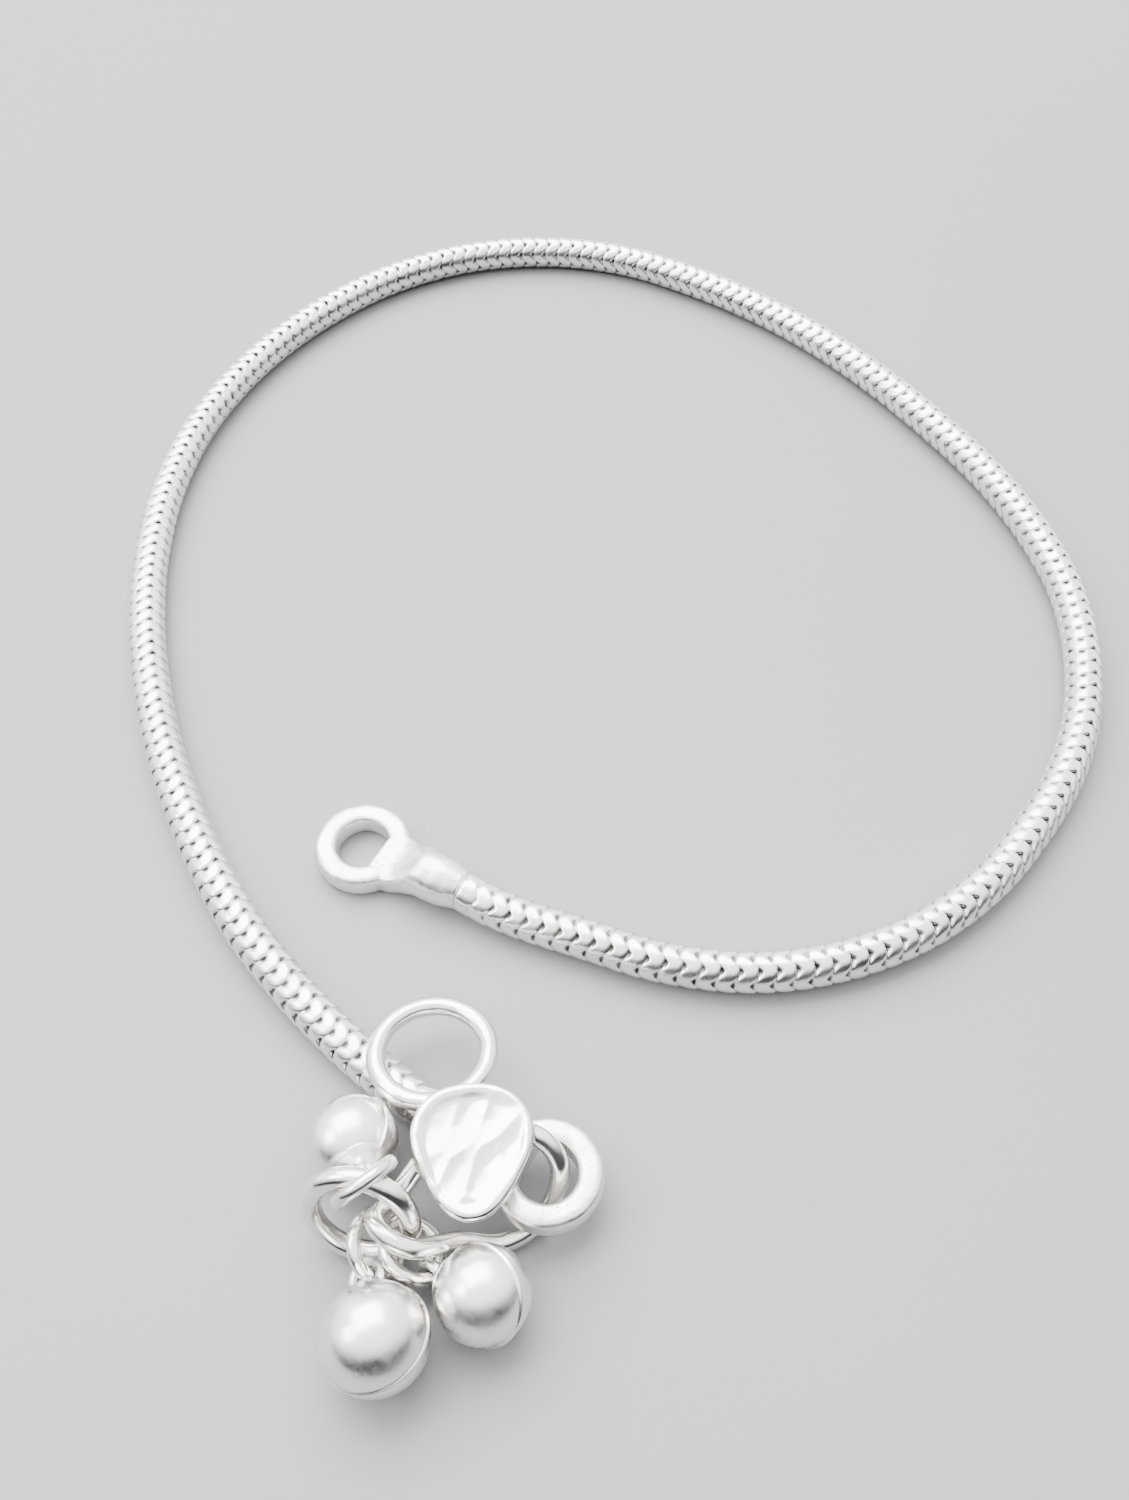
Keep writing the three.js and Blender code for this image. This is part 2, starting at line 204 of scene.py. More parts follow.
class Track:
    """A curve that can be asked for its point and direction at a distance from its start."""

    def __init__(self, points):
        self.points = smooth_curve(points)
        gaps = np.linalg.norm(np.diff(self.points, axis=0), axis=1)
        self.distance = np.concatenate([[0], np.cumsum(gaps)])
        self.length = self.distance[-1]
        self.tangents = unit(np.gradient(self.points, self.distance, axis=0))

    def at(self, distance):
        inside = np.clip(distance, 0, self.length)
        point = np.stack([np.interp(inside, self.distance, axis) for axis in self.points.T], -1)
        tangent = unit(np.stack([np.interp(inside, self.distance, axis) for axis in self.tangents.T], -1))
        return point + tangent * (distance - inside)[..., None], tangent


# Meshes

def grid(points, loop_rows=False):
    """Faces over closed rows of points, with flat caps or with the last row joined to the first."""
    rows, sides = points.shape[:2]
    row = np.arange(rows if loop_rows else rows - 1)[:, None]
    here = row * sides
    after = (row + 1) % rows * sides
    side = np.arange(sides)[None]
    beside = (side + 1) % sides
    quads = np.stack([here + side, here + beside, after + beside, after + side], -1)
    faces = [tuple(quad) for quad in quads.reshape(-1, 4).tolist()]
    if not loop_rows:
        faces.append(tuple(range(sides - 1, -1, -1)))
        faces.append(tuple(range((rows - 1) * sides, rows * sides)))
    return points.reshape(-1, 3), faces


def together(*parts):
    """Several meshes' points and faces as one mesh's."""
    points, faces, count = [], [], 0
    for part_points, part_faces in parts:
        points.append(part_points)
        faces += [tuple(index + count for index in face) for face in part_faces]
        count += len(part_points)
    return np.vstack(points), faces


def moved(part, matrix):
    points, faces = part
    turn = np.array(matrix.to_3x3())
    return points @ turn.T + np.array(matrix.translation), faces


def full_turn(steps):
    """Even angles once round, without the last, which is the first again."""
    return np.linspace(0, 2 * math.pi, steps, endpoint=False)


def about_z(reach, turn, height):
    """Points at reaches, turns and heights about Z."""
    return np.stack([reach * np.cos(turn), reach * np.sin(turn), height + 0 * turn], -1)


def tube(points, diameter):
    """A round wire along close points, its section carried along without twist."""
    points = np.array(points, float)
    tangents = unit(np.gradient(points, axis=0))
    side = unit(np.cross(tangents[0], UP + 0.01))
    rings = []
    angles = full_turn(HOOK_SIDES)[:, None]
    for point, tangent in zip(points, tangents):
        side = unit(side - tangent * (side @ tangent))
        other = np.cross(tangent, side)
        rings.append(point + (np.cos(angles) * side + np.sin(angles) * other) * diameter / 2)
    return grid(np.array(rings))


def ring(outer_diameter, wire, steps=RING_STEPS, sides=WIRE_SIDES):
    """A wire ring in the XY plane."""
    angle = full_turn(sides)[None]
    reach = (outer_diameter - wire) / 2 + wire / 2 * np.cos(angle)
    return grid(about_z(reach, full_turn(steps)[:, None], wire / 2 * np.sin(angle)), loop_rows=True)


def rounded_square(angle, power):
    """Cosine and sine of the angle for an outline between a circle, at power 1, and a square, near 0."""
    cosine, sine = np.cos(angle), np.sin(angle)
    return np.sign(cosine) * np.abs(cosine) ** power, np.sign(sine) * np.abs(sine) ** power


def relaxed(points, passes):
    """A row of close points or values with its kinks eased and its ends kept."""
    for _ in range(passes):
        points[1:-1] = (points[:-2] + 2 * points[1:-1] + points[2:]) / 4
    return points


def lathe(profile, segments=96):
    """An outline of (radius, height) points turned about Z, closed on the axis by small caps."""
    profile = np.array(profile, float)
    return grid(about_z(profile[:, :1], full_turn(segments)[None], profile[:, 1:]))


def to_mesh(name, part):
    points, faces = part
    mesh = bpy.data.meshes.new(name)
    mesh.from_pydata(points.tolist(), [], faces)
    mesh.update()
    return mesh


def applied(mesh, name, **modifiers):
    """The mesh with modifiers applied, each given as type=settings."""
    piece = bpy.data.objects.new(name, mesh)
    bpy.context.collection.objects.link(piece)
    for kind, settings in modifiers.items():
        modifier = piece.modifiers.new(kind, kind)
        for key, value in settings.items():
            setattr(modifier, key, value)
    done = bpy.data.meshes.new_from_object(piece.evaluated_get(bpy.context.evaluated_depsgraph_get()))
    bpy.data.objects.remove(piece)
    return done


def fused(name, part, voxel, smoothing):
    """Overlapping closed shells melted into one skin with soft joints."""
    return applied(to_mesh(name, part), name, REMESH={"mode": "VOXEL", "voxel_size": voxel},
                   SMOOTH={"factor": 0.5, "iterations": smoothing})


def mesh_points(mesh):
    points = np.empty(len(mesh.vertices) * 3)
    mesh.vertices.foreach_get("co", points)
    return points.reshape(-1, 3)


def roughen(mesh, height, scale, seed):
    """Pushes the skin in and out by low noise, as on a casting or hammered metal."""
    normals = np.empty(len(mesh.vertices) * 3)
    mesh.vertices.foreach_get("normal", normals)
    points = mesh_points(mesh)
    shift = np.array([noise.noise(Vector(point * scale) + Vector((seed, 0, 0))) for point in points])
    points += normals.reshape(-1, 3) * (shift * height)[:, None]
    mesh.vertices.foreach_set("co", points.ravel())
    mesh.update()


def add_piece(name, mesh, material, node):
    """A finished piece: turned into metres, smooth, riding on the body in place of its node."""
    mesh.transform(Matrix.Scale(MM, 4))
    mesh.polygons.foreach_set("use_smooth", [True] * len(mesh.polygons))
    mesh.update()
    piece = bpy.data.objects.new(name, mesh)
    bpy.context.collection.objects.link(piece)
    mesh.materials.clear()
    mesh.materials.append(material)
    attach(piece, "root")
    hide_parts(node)


def add_attribute(mesh, name, values):
    layer = mesh.attributes.new(name, "FLOAT", "POINT")
    layer.data.foreach_set("value", np.asarray(values, float).ravel())


# Materials

class Shader:
    """A node material under construction."""

    def __init__(self, name):
        self.material = bpy.data.materials.new(name)
        self.material.use_nodes = True
        self.tree = self.material.node_tree
        self.shader = self.tree.nodes["Principled BSDF"]
        self.place = self.add("ShaderNodeTexCoord").outputs["Object"]

    def add(self, kind, **values):
        node = self.tree.nodes.new(kind)
        for key, value in values.items():
            if key in node.inputs:
                node.inputs[key].default_value = value
            else:
                setattr(node, key, value)
        return node

    def link(self, source, target):
        self.tree.links.new(source, target)

    def noise(self, scale, detail=4.0):
        texture = self.add("ShaderNodeTexNoise", Scale=scale, Detail=detail, Roughness=0.6)
        self.link(self.place, texture.inputs["Vector"])
        return texture.outputs["Fac"]

    def pits(self, scale):
        texture = self.add("ShaderNodeTexVoronoi", Scale=scale)
        self.link(self.place, texture.inputs["Vector"])
        return texture.outputs["Distance"]

    def spread(self, source, low, high, from_low=0.3, from_high=0.7):
        band = self.add("ShaderNodeMapRange")
        ends = {"From Min": from_low, "From Max": from_high, "To Min": low, "To Max": high}
        for key, value in ends.items():
            band.inputs[key].default_value = value
        self.link(source, band.inputs["Value"])
        return band.outputs["Result"]

    def mix(self, factor, first, second):
        node = self.add("ShaderNodeMix", data_type="RGBA")
        for socket, value in ((node.inputs[0], factor), (node.inputs[6], first), (node.inputs[7], second)):
            if isinstance(value, tuple):
                socket.default_value = value
            else:
                self.link(value, socket)
        return node.outputs[2]

    def maths(self, operation, first, second):
        node = self.add("ShaderNodeMath", operation=operation)
        for socket, value in zip(node.inputs, (first, second)):
            if isinstance(value, float):
                socket.default_value = value
            else:
                self.link(value, socket)
        return node.outputs[0]

    def bump(self, height, distance, strength):
        node = self.add("ShaderNodeBump", Distance=distance, Strength=strength)
        self.link(height, node.inputs["Height"])
        return node.outputs["Normal"]


BRIGHT = (0.93, 0.91, 0.88, 1.0)
CLOUDED = (0.80, 0.775, 0.73, 1.0)
# Darkened silver: painted shade with some tarnish in the chain's creases, and the dark of the cast pieces'
# pits
DARKENED_SILVER = (0.025, 0.021, 0.018, 1.0)
# Painted shade and dark reflection for the bells' undersides
UNDERSIDE_SHADE_AND_REFLECTION = (0.3, 0.28, 0.255, 1.0)
# Heights in metres below which the bells' undersides are painted darker, as painted shade and dark
# reflection, and above which they are not
UNDERSIDE_SHADE_HEIGHTS = (0.0006, 0.003)
# How deep the pits and the soft unevenness of a skin are, in metres
BUMP_DEPTH = 0.00005


def silver(name, rough_low, rough_high, pit_scale, pit_strength, smudge_scale=260.0, crease_shade_and_tarnish=False,
           speckle=0.0, underside_shade=0.0):
    """Silver with clouded patches, patches of fine pits, uneven polish and creases darkened by painted shade
    and tarnish.

    Creases get painted shade with some tarnish where the mesh marks them. Speckle says how dark the pits are,
    and the last setting how dark the low parts are painted, as painted shade and dark reflection."""
    paint = Shader(name)
    shader = paint.shader
    shader.inputs["Metallic"].default_value = 1.0
    smudge = paint.noise(smudge_scale)
    color = paint.mix(paint.spread(smudge, 0.0, 1.0, 0.42, 0.75), BRIGHT, CLOUDED)
    # Painted shade, with some tarnish, in the grooves and pits that the mesh marks
    if crease_shade_and_tarnish:
        mark = paint.add("ShaderNodeAttribute", attribute_name="crease_shade_and_tarnish").outputs["Fac"]
        sharp = paint.spread(mark, 0.0, 1.0, 0.12, 0.65)
        shade_and_tarnish_amount = paint.maths("MULTIPLY", sharp, paint.spread(paint.noise(700.0), 0.6, 1.0))
        color = paint.mix(shade_and_tarnish_amount, color, DARKENED_SILVER)
    # Painted shade and dark reflection: the low parts darker towards the bottom, unevenly
    if underside_shade:
        height = paint.add("ShaderNodeSeparateXYZ")
        paint.link(paint.place, height.inputs["Vector"])
        low = paint.spread(height.outputs["Z"], underside_shade, 0.0, *UNDERSIDE_SHADE_HEIGHTS)
        uneven = paint.spread(paint.noise(900.0), 0.6, 1.0)
        color = paint.mix(paint.maths("MULTIPLY", low, uneven), color, UNDERSIDE_SHADE_AND_REFLECTION)
    polish = paint.noise(smudge_scale * 2.3, 6.0)
    paint.link(paint.spread(polish, rough_low, rough_high), shader.inputs["Roughness"])
    dents = paint.spread(paint.pits(pit_scale), -1.0, 0.0, 0.0, 0.4)
    patches = paint.spread(paint.noise(smudge_scale * 1.7), 0.0, 1.0, 0.5, 0.7)
    pitted = paint.maths("MULTIPLY", dents, patches)
    if speckle:
        color = paint.mix(paint.maths("MULTIPLY", pitted, -speckle), color, DARKENED_SILVER)
    paint.link(color, shader.inputs["Base Color"])
    soft = paint.maths("MULTIPLY", paint.noise(pit_scale * 0.6, 3.0), 0.6)
    relief = paint.bump(paint.maths("ADD", pitted, soft), BUMP_DEPTH, pit_strength)
    paint.link(relief, shader.inputs["Normal"])
    return paint.material


# Chain

def chain_track():
    """The chain's middle line, on the floor and rising into each ferrule, and its route's shift."""
    climb_points = 3
    count = len(CHAIN_ROUTE)
    points = []
    for index, (x, y) in enumerate(CHAIN_ROUTE):
        from_end = min(index, count - 1 - index)
        climb = max(0, 1 - from_end / climb_points) ** 2
        height = CHAIN_DIAMETER / 2 + (COLLAR_DIAMETER - CHAIN_DIAMETER) / 2 * climb
        points.append((x, y, height))
    track = Track(points)
    low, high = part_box("snake_chain")
    middle_x = (track.points[:, 0].min() + track.points[:, 0].max()) / 2
    top_y = track.points[:, 1].max() + CHAIN_DIAMETER / 2
    shift = np.array([(low[0] + high[0]) / 2 / MM - middle_x, high[1] / MM - top_y, 0])
    track.points += shift
    return track, shift


def ring_points(track, along, reach, angle):
    """Points round the chain at distances along it, at reaches and angles about its middle line."""
    point, tangent = track.at(along)
    across = unit(np.cross(tangent, UP))
    rise = np.cross(across, tangent)
    return point + reach[..., None] * (np.cos(angle)[..., None] * across + np.sin(angle)[..., None] * rise)


def snake_chain(track):
    """Zigzag links nested in each other: nearly flat bands, thin seams, and a pit wherever a seam turns."""
    links = round(track.length / LINK_PITCH)
    pitch = track.length / links
    phase = (np.arange(links)[:, None] + np.array(LINK_ROWS)[None]).ravel()[:, None]
    lines = 2 * ZIGZAG_WAVES
    sectors = np.arange(lines)[:, None] * 360 / lines + np.array(SECTOR_ANGLES)[None]
    angle = np.radians(sectors.ravel())[None]
    wave = np.arcsin(ZIGZAG_SHARPNESS * np.cos(ZIGZAG_WAVES * angle)) / math.asin(ZIGZAG_SHARPNESS)
    from_end = np.minimum(phase, links - phase)
    along = phase * pitch + ZIGZAG_HEIGHT * wave * np.clip(from_end / FLAT_LINKS, 0, 1)
    seam = np.abs(2 * (phase % 1) - 1)
    groove = np.clip(1 + (seam - 1) / GROOVE_SHARE, 0, 1) ** 1.5
    from_line = np.abs((angle * lines / (2 * math.pi) + 0.5) % 1 - 0.5) * 2 * math.pi / lines
    from_seam = ((phase + 0.5) % 1 - 0.5 + PIT_OFFSET * wave) * pitch
    pit = np.exp(-(from_seam / PIT_LENGTH) ** 2 - (from_line * CHAIN_DIAMETER / 2 / PIT_WIDTH) ** 2)
    open_share = 1 - FLOODED_SHARE * np.clip(1.25 - from_end / FLOODED_LINKS, 0, 1)
    sunk = (GROOVE_DEPTH * groove + PIT_DEPTH * pit) * open_share
    reach = CHAIN_DIAMETER / 2 - DOME_HEIGHT * seam**2 - sunk
    # Painted shade, with some tarnish, in the seams and pits, marked on the mesh for the material
    crease_shade_and_tarnish = np.clip(GROOVE_SHADE_AND_TARNISH * groove**1.5 + PIT_SHADE_AND_TARNISH * pit**1.5, 0, 1) * open_share
    turn = np.radians(LINE_TURN + LINE_TWIST * phase / links)
    rows = [ring_points(track, along, reach, angle + turn)]
    for out, radius in CHAIN_ENDS:
        reach = np.full_like(angle, radius)
        first_row = ring_points(track, np.full_like(angle, -out), reach, angle + turn[0])
        last_row = ring_points(track, np.full_like(angle, track.length + out), reach, angle + turn[-1])
        rows = [first_row] + rows + [last_row]
    mesh = to_mesh("snake_chain", grid(np.vstack(rows)))
    plain = np.zeros((len(CHAIN_ENDS), crease_shade_and_tarnish.shape[1]))
    add_attribute(mesh, "crease_shade_and_tarnish", np.vstack([plain, crease_shade_and_tarnish, plain]))
    return mesh


# End rings

def ferrule():
    """The web, collar and ferrule, through sections from inside the ring's hole to the chain."""
    half = END_RING_THICKNESS / 2
    collar = COLLAR_DIAMETER / 2
    chain = CHAIN_DIAMETER / 2
    # Distance from the ring's middle, half width, half height and rise
    sections = np.array([
        (END_RING_HOLE * 0.39, collar * 0.86, half * 0.97, 0),
        (END_RING_OUTER * 0.3, collar * 1.12, half * 0.98, 0),
        (END_RING_OUTER * 0.42, collar * 1.22, half, FERRULE_RISE * 0.02),
        (END_RING_OUTER * 0.52, collar * 1.08, half * 1.12, FERRULE_RISE * 0.16),
        (END_RING_OUTER * 0.6, collar, half * 1.4, FERRULE_RISE * 0.45),
        (END_RING_OUTER * 0.68, collar, collar * 0.9, FERRULE_RISE * 0.78),
        (END_RING_OUTER * 0.76, collar, collar, FERRULE_RISE),
        (END_RING_REACH * 0.8, collar, collar, FERRULE_RISE),
        (END_RING_REACH * 0.88, collar * 0.93, collar * 0.93, FERRULE_RISE),
        (END_RING_REACH * 0.96, chain * 1.05, chain * 1.05, FERRULE_RISE),
        (END_RING_REACH, chain * 0.98, chain * 0.98, FERRULE_RISE),
    ])
    place = np.linspace(sections[0, 0], sections[-1, 0], FERRULE_STEPS)
    eased = [relaxed(np.interp(place, sections[:, 0], column), FERRULE_EASING) for column in sections.T[1:]]
    wide, high, rise = (column[:, None] for column in eased)
    angle = full_turn(FERRULE_SIDES)[None]
    web_and_collar = (END_RING_OUTER * 0.5, END_RING_OUTER * 0.76)
    across, upward = rounded_square(angle, np.interp(place, web_and_collar, (WEB_SQUARENESS, 1.0))[:, None])
    return grid(np.stack([place[:, None] + 0 * angle, wide * across, rise + high * upward], -1))


def washer():
    """The flat ring with rounded edges."""
    half_width = (END_RING_OUTER - END_RING_HOLE) / 4
    middle = (END_RING_OUTER + END_RING_HOLE) / 4
    half = END_RING_THICKNESS / 2
    across, upward = rounded_square(full_turn(WASHER_SIDES)[None], RING_SQUARENESS)
    reach = middle + half_width * across
    return grid(about_z(reach, full_turn(RING_STEPS)[:, None], half * upward), loop_rows=True)


def end_ring(name, centre, along, height, turned_over):
    part = together(washer(), ferrule())
    down = Matrix.Rotation(math.pi, 4, "X") if turned_over else Matrix.Identity(4)
    turn = Matrix.Rotation(math.atan2(along[1], along[0]), 4, "Z")
    matrix = Matrix.Translation((centre[0], centre[1], height)) @ turn @ down
    mesh = fused(name, moved(part, matrix), CASTING_VOXEL, CASTING_SMOOTHING)
    for dents in CASTING_DENTS:
        roughen(mesh, *dents)
    return mesh


# Hook, plate, rings and bells

# The plate's outline: waves round it as their lobes, share of its half sizes and turn in degrees
PLATE_FILL = 0.96
PLATE_WAVES = ((1, 0.06, 80), (2, -0.02, 0), (3, 0.075, 30))
# Hammer blows on the plate: place as a share of its half sizes, length, width and depth in millimetres
HAMMER_BLOWS = (
    (-0.5, 0.3, 2.6, 1.3, 0.16), (-0.08, 0.42, 2.8, 1.1, 0.19), (0.42, 0.5, 2.4, 1.1, 0.15),
    (0.62, -0.02, 2.2, 1.1, 0.19), (0.25, -0.32, 2.6, 1.1, 0.2), (-0.22, -0.4, 2.4, 1.1, 0.15),
    (-0.62, -0.3, 2.0, 1.0, 0.14), (0.0, -0.86, 2.0, 1.0, 0.14),
)
BLOW_HEADING = math.radians(62)
# Rows of points on the plate, as shares of its half sizes: under it and up its edge with their heights as
# shares of half its thickness, then on top from the edge to the middle
PLATE_SIDE = ((0.05, -1), (0.6, -1), (0.85, -0.97), (0.94, -0.76), (0.99, -0.4), (1.0, 0.0), (0.995, 0.45))
PLATE_TOP = (
    0.97, 0.94, 0.9, 0.86, 0.82, 0.78, 0.74, 0.69, 0.62, 0.55, 0.47, 0.39, 0.31, 0.23, 0.15, 0.08, 0.03,
)


def plate():
    """A thick shield with a proud rim at the back left and shallow slanting facets on top."""
    angle = full_turn(PLATE_SIDES)
    edge = PLATE_FILL
    for lobes, share, turn in PLATE_WAVES:
        edge = edge + share * np.cos(lobes * (angle - math.radians(turn)))
    rim = RIM_HEIGHT * np.clip(1.3 * np.cos(angle - RIM_HEADING) + 0.25, 0, 1)
    rows = [(out, up, False) for out, up in PLATE_SIDE] + [(out, PLATE_TOP_HEIGHT, True) for out in PLATE_TOP]
    points = []
    for out, up, top in rows:
        x = PLATE_WIDTH / 2 * out * edge * np.cos(angle)
        y = PLATE_LENGTH / 2 * out * edge * np.sin(angle)
        z = np.full_like(x, up * PLATE_THICKNESS / 2)
        if top:
            z += rim * np.clip((out - RIM_START) / 0.1, 0, 1)
            z -= ROUNDED_DEPTH * max(0, (out - ROUNDED_START) / 0.04)
            z -= hammered(x, y) * np.clip((HAMMERED_END - out) / 0.1, 0, 1)
        points.append(np.stack([x, y, z], -1))
    return grid(np.array(points))


def hammered(x, y):
    """How deep the hammer's long facets sit at points on the plate."""
    depth_there = np.zeros_like(x)
    for share_x, share_y, length, width, depth in HAMMER_BLOWS:
        out_x = x - share_x * PLATE_WIDTH / 2
        out_y = y - share_y * PLATE_LENGTH / 2
        along = out_x * math.cos(BLOW_HEADING) + out_y * math.sin(BLOW_HEADING)
        across = out_y * math.cos(BLOW_HEADING) - out_x * math.sin(BLOW_HEADING)
        depth_there = np.maximum(depth_there, depth * (1 - (along / length) ** 2 - (across / width) ** 2))
    return depth_there


def hook_with_plate(clasp_centre):
    wire = tube(relaxed(smooth_curve(HOOK_ROUTE, HOOK_STEPS), HOOK_EASING), HOOK_WIRE)
    loop_place = Matrix.Translation(FREE_LOOP_PLACE) @ Matrix.Rotation(FREE_LOOP_TILT, 4, "X")
    loop = moved(ring(FREE_LOOP_DIAMETER, HOOK_WIRE), loop_place)
    plate_place = Matrix.Translation(PLATE_PLACE) @ Matrix.Rotation(PLATE_TILT, 4, "X")
    part = together(wire, loop, moved(plate(), plate_place))
    matrix = Matrix.Translation((clasp_centre[0], clasp_centre[1], 0))
    mesh = fused("hook_with_plate", moved(part, matrix), HOOK_VOXEL, SOLDER_SMOOTHING)
    roughen(mesh, *HOOK_DENTS)
    return mesh


def node_points(name):
    """The points of a CAD node, in millimetres."""
    return mesh_points(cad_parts[name].data) / MM


def ring_like_node(name, wire):
    """A round wire ring in the place and plane of the node's own ring."""
    points = node_points(name)
    centre = points.mean(0)
    _, _, directions = np.linalg.svd(points - centre)
    normal = directions[2]
    outer = 2 * np.linalg.norm(points - centre, axis=1).max()
    turn = Vector((0, 0, 1)).rotation_difference(Vector(normal)).to_matrix().to_4x4()
    return moved(ring(outer, wire), Matrix.Translation(centre) @ turn)


def direction(heading, climb):
    turn, up = math.radians(heading), math.radians(climb)
    return np.array([math.cos(turn) * math.cos(up), math.sin(turn) * math.cos(up), math.sin(up)])


# Radius and height of the neck that is drawn out of a bell's ball, from inside the ball to the bail's hole
BELL_NECK = (
    (0.05, -0.6), (1.3, -0.6), (1.6, 0.0), (1.36, 0.2), (1.12, 0.38), (0.92, 0.56), (0.74, 0.76), (0.56, 0.9),
    (0.05, 0.95),
)


def ball_profile(radius):
    """Half balls meeting in a thin proud lip with a fine groove on each side of it."""
    edge = math.asin(SEAM_WIDTH * 0.75 / radius)
    polar = np.linspace(-math.pi / 2 + 0.02, -edge, 34)
    half = [(radius * math.cos(angle), radius * math.sin(angle)) for angle in polar]
    half += [(radius + SEAM_HEIGHT * out, -SEAM_WIDTH * away) for out, away in SEAM_LIP]
    return half + [(reach, -height) for reach, height in reversed(half)]


def bell(name):
    """A ball of two halves with a neck drawn out of it under the soldered bail."""
    facts = BELLS[name]
    diameter = facts["diameter"]
    radius = diameter / 2 - SEAM_HEIGHT
    along = direction(facts["heading"], facts["climb"])
    points = node_points(name)
    side = unit(np.cross(UP, along))
    over = np.cross(along, side)
    centre = along * ((points @ along).min() + diameter / 2)
    for axis in (side, over):
        reach = points @ axis
        centre = centre + axis * (reach.min() + reach.max()) / 2
    upright = Matrix.Rotation(math.pi / 2, 4, "X")
    seam_turn = Matrix.Rotation(math.radians(facts["seam_turn"]), 4, "X")
    ball = moved(lathe(ball_profile(radius)), seam_turn @ upright)
    bail_out = diameter / 2 + BAIL_DIAMETER / 2 - BAIL_WIRE * BAIL_SUNK
    bail = moved(ring(BAIL_DIAMETER, BAIL_WIRE, 64, 20), Matrix.Translation((bail_out, 0, 0)) @ upright)
    turn_to_x = Matrix.Translation((radius * NECK_PLACE, 0, 0)) @ Matrix.Rotation(math.pi / 2, 4, "Y")
    neck = moved(lathe(BELL_NECK, 48), turn_to_x)
    top = fused(name, together(bail, neck), NECK_VOXEL, SOLDER_SMOOTHING)
    top_faces = [tuple(face.vertices) for face in top.polygons]
    mesh = to_mesh(name, together(ball, (mesh_points(top), top_faces)))
    basis = Matrix(np.array([along, side, over]).T.tolist()).to_4x4()
    mesh.transform(Matrix.Translation(centre) @ basis @ Matrix.Rotation(math.radians(facts["roll"]), 4, "X"))
    return mesh


# Making the pieces

# The chain gets painted shade, with some tarnish, in its grooves and pits
chain_silver = silver(
    "chain_silver", rough_low=0.16, rough_high=0.34, pit_scale=2600.0, pit_strength=0.25, crease_shade_and_tarnish=True)
cast_silver = silver(
    "cast_silver", rough_low=0.22, rough_high=0.44, pit_scale=3800.0, pit_strength=0.7, speckle=0.6)
polished_silver = silver(
    "polished_silver", rough_low=0.1, rough_high=0.26, pit_scale=1800.0, pit_strength=0.18)
# The bells' low parts get a painted shade and dark reflection
bell_silver = silver(
    "bell_silver", rough_low=0.2, rough_high=0.36, pit_scale=1900.0, pit_strength=0.2, smudge_scale=420.0,
    underside_shade=0.5)

track, route_shift = chain_track()
add_piece("chain_links", snake_chain(track), chain_silver, "snake_chain")

for name, distance, sense, turned_over in (("plain", 0.0, 1, False), ("clasp", track.length, -1, True)):
    point, tangent = track.at(np.array(distance))
    along = unit(tangent * np.array([1, 1, 0])) * sense
    centre = point - along * END_RING_REACH
    height = COLLAR_DIAMETER / 2 + FERRULE_RISE * (1 if turned_over else -1)
    mesh = end_ring(f"{name}_end_ring", centre, along, height, turned_over)
    add_piece(f"{name}_end_ring", mesh, cast_silver, f"end_ring_{name}")

# The clasp's ring is made last, and the hook is placed from its middle
hook = hook_with_plate(centre)
add_piece("hook_and_plate", hook, polished_silver, "hook_with_plate")
bell_carrier = to_mesh("bell_carrier", ring_like_node("bell_ring", BELL_RING_WIRE))
add_piece("bell_carrier", bell_carrier, polished_silver, "bell_ring")
for place in ("front_left", "front_right", "back"):
    link = to_mesh(f"link_{place}", ring_like_node(f"jump_ring_{place}", JUMP_RING_WIRE))
    add_piece(f"link_{place}", link, polished_silver, f"jump_ring_{place}")
    add_piece(f"ball_bell_{place}", bell(f"bell_{place}"), bell_silver, f"bell_{place}")


# Studio

FLOOR_GREYS = ((0.25, 0.25, 0.252, 1.0), (0.265, 0.265, 0.267, 1.0))
# The room: the way to its bright side, its dark and bright colours, where along that way it changes from one
# to the other once the lift is added, its strength, and the plain backdrop that the camera sees
BRIGHT_WAY = (-0.1, 0.6, 0.79)
ROOM_COLORS = ((0.02, 0.02, 0.022, 1.0), (1.0, 1.0, 1.02, 1.0))
ROOM_CHANGES = (0.04, 0.5)
ROOM_LIFT = 0.1
ROOM_STRENGTH = 3.3
BACKDROP = (0.6, 0.6, 0.605, 1.0)
# Lights aimed at the middle: place and size in metres, and power
LIGHTS = {
    "key": ((-0.14, 0.34, 0.62), (0.8, 0.6), 16.0),
    "fill": ((-0.5, -0.05, 0.45), (0.25, 0.25), 2.0),
}


def pale_floor():
    bpy.ops.mesh.primitive_plane_add(size=2.4)
    floor = bpy.context.object
    floor.name = "studio_floor"
    paint = Shader("pale_floor")
    paint.shader.inputs["Roughness"].default_value = 0.5
    clouds = paint.spread(paint.noise(6.0), 0.0, 1.0)
    shade = paint.mix(clouds, *FLOOR_GREYS)
    paint.link(shade, paint.shader.inputs["Base Color"])
    floor.data.materials.append(paint.material)


def soft_light(name, place, size, power):
    data = bpy.data.lights.new(name, "AREA")
    data.shape = "RECTANGLE"
    data.size, data.size_y = size
    data.energy = power
    light = bpy.data.objects.new(name, data)
    light.location = place
    light.rotation_euler = (-Vector(place)).to_track_quat("-Z", "Y").to_euler()
    bpy.context.collection.objects.link(light)


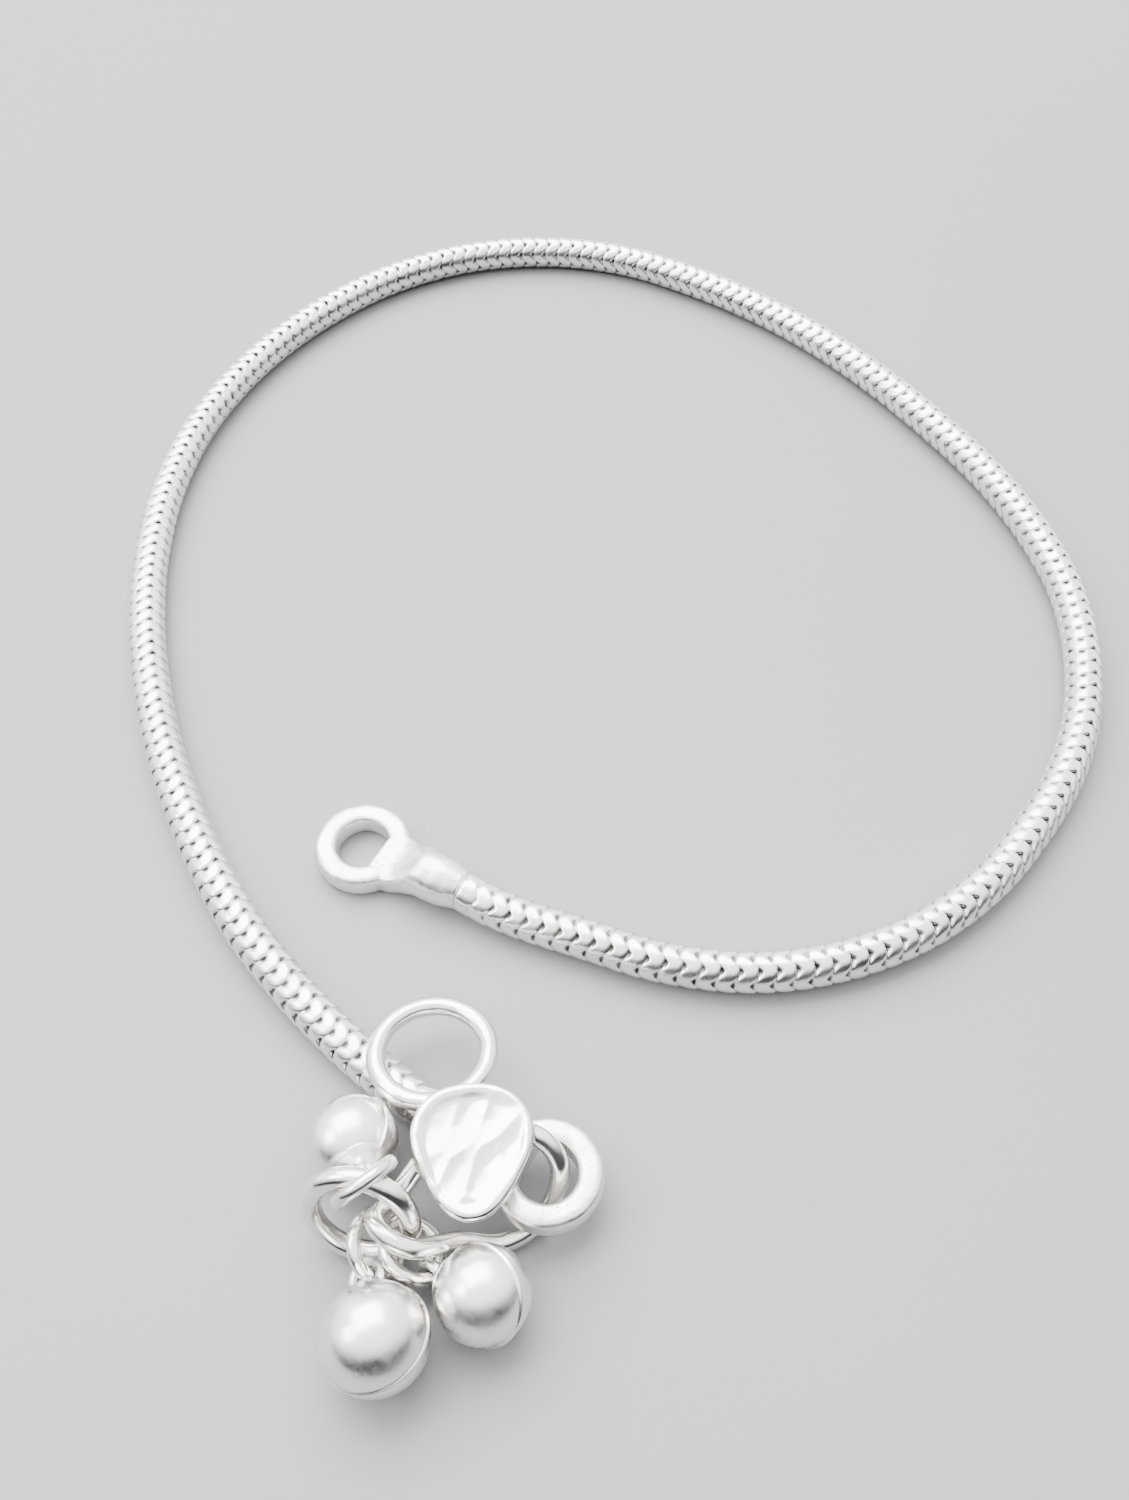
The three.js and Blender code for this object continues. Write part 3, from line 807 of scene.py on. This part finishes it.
def studio_world():
    """A soft room, bright overhead and behind and dark towards the front, with a plain backdrop."""
    world = bpy.data.worlds.new("studio")
    bpy.context.scene.world = world
    world.use_nodes = True
    nodes = world.node_tree.nodes
    link = world.node_tree.links.new
    toward = nodes.new("ShaderNodeVectorMath")
    toward.operation = "DOT_PRODUCT"
    toward.inputs[1].default_value = BRIGHT_WAY
    link(nodes.new("ShaderNodeTexCoord").outputs["Generated"], toward.inputs[0])
    lifted = nodes.new("ShaderNodeMath")
    lifted.inputs[1].default_value = ROOM_LIFT
    link(toward.outputs["Value"], lifted.inputs[0])
    ramp = nodes.new("ShaderNodeValToRGB")
    for element, place, color in zip(ramp.color_ramp.elements, ROOM_CHANGES, ROOM_COLORS):
        element.position = place
        element.color = color
    link(lifted.outputs["Value"], ramp.inputs["Fac"])
    room = nodes["Background"]
    room.inputs["Strength"].default_value = ROOM_STRENGTH
    link(ramp.outputs["Color"], room.inputs["Color"])
    backdrop = nodes.new("ShaderNodeBackground")
    backdrop.inputs["Color"].default_value = BACKDROP
    seen = nodes.new("ShaderNodeMixShader")
    link(nodes.new("ShaderNodeLightPath").outputs["Is Camera Ray"], seen.inputs[0])
    link(room.outputs["Background"], seen.inputs[1])
    link(backdrop.outputs["Background"], seen.inputs[2])
    link(seen.outputs["Shader"], nodes["World Output"].inputs["Surface"])


def add_camera():
    data = bpy.data.cameras.new("camera")
    data.sensor_width = SENSOR_MM
    data.lens = FOCAL_PIXELS / PICTURE_HEIGHT * SENSOR_MM
    data.clip_start = 0.005
    camera = bpy.data.objects.new("camera", data)
    forward = Vector((0, math.cos(CAMERA_ELEVATION), -math.sin(CAMERA_ELEVATION)))
    down = forward.cross(Vector((1, 0, 0)))
    right = math.cos(CAMERA_ROLL) * Vector((1, 0, 0)) + math.sin(CAMERA_ROLL) * down
    up = right.cross(forward)
    target = Vector(route_shift) * MM
    matrix = Matrix((right, up, -forward)).transposed().to_4x4()
    matrix.translation = target - forward * CAMERA_DISTANCE * MM
    camera.matrix_world = matrix
    bpy.context.collection.objects.link(camera)
    bpy.context.scene.camera = camera


pale_floor()
studio_world()
for name, facts in LIGHTS.items():
    soft_light(name, *facts)
add_camera()
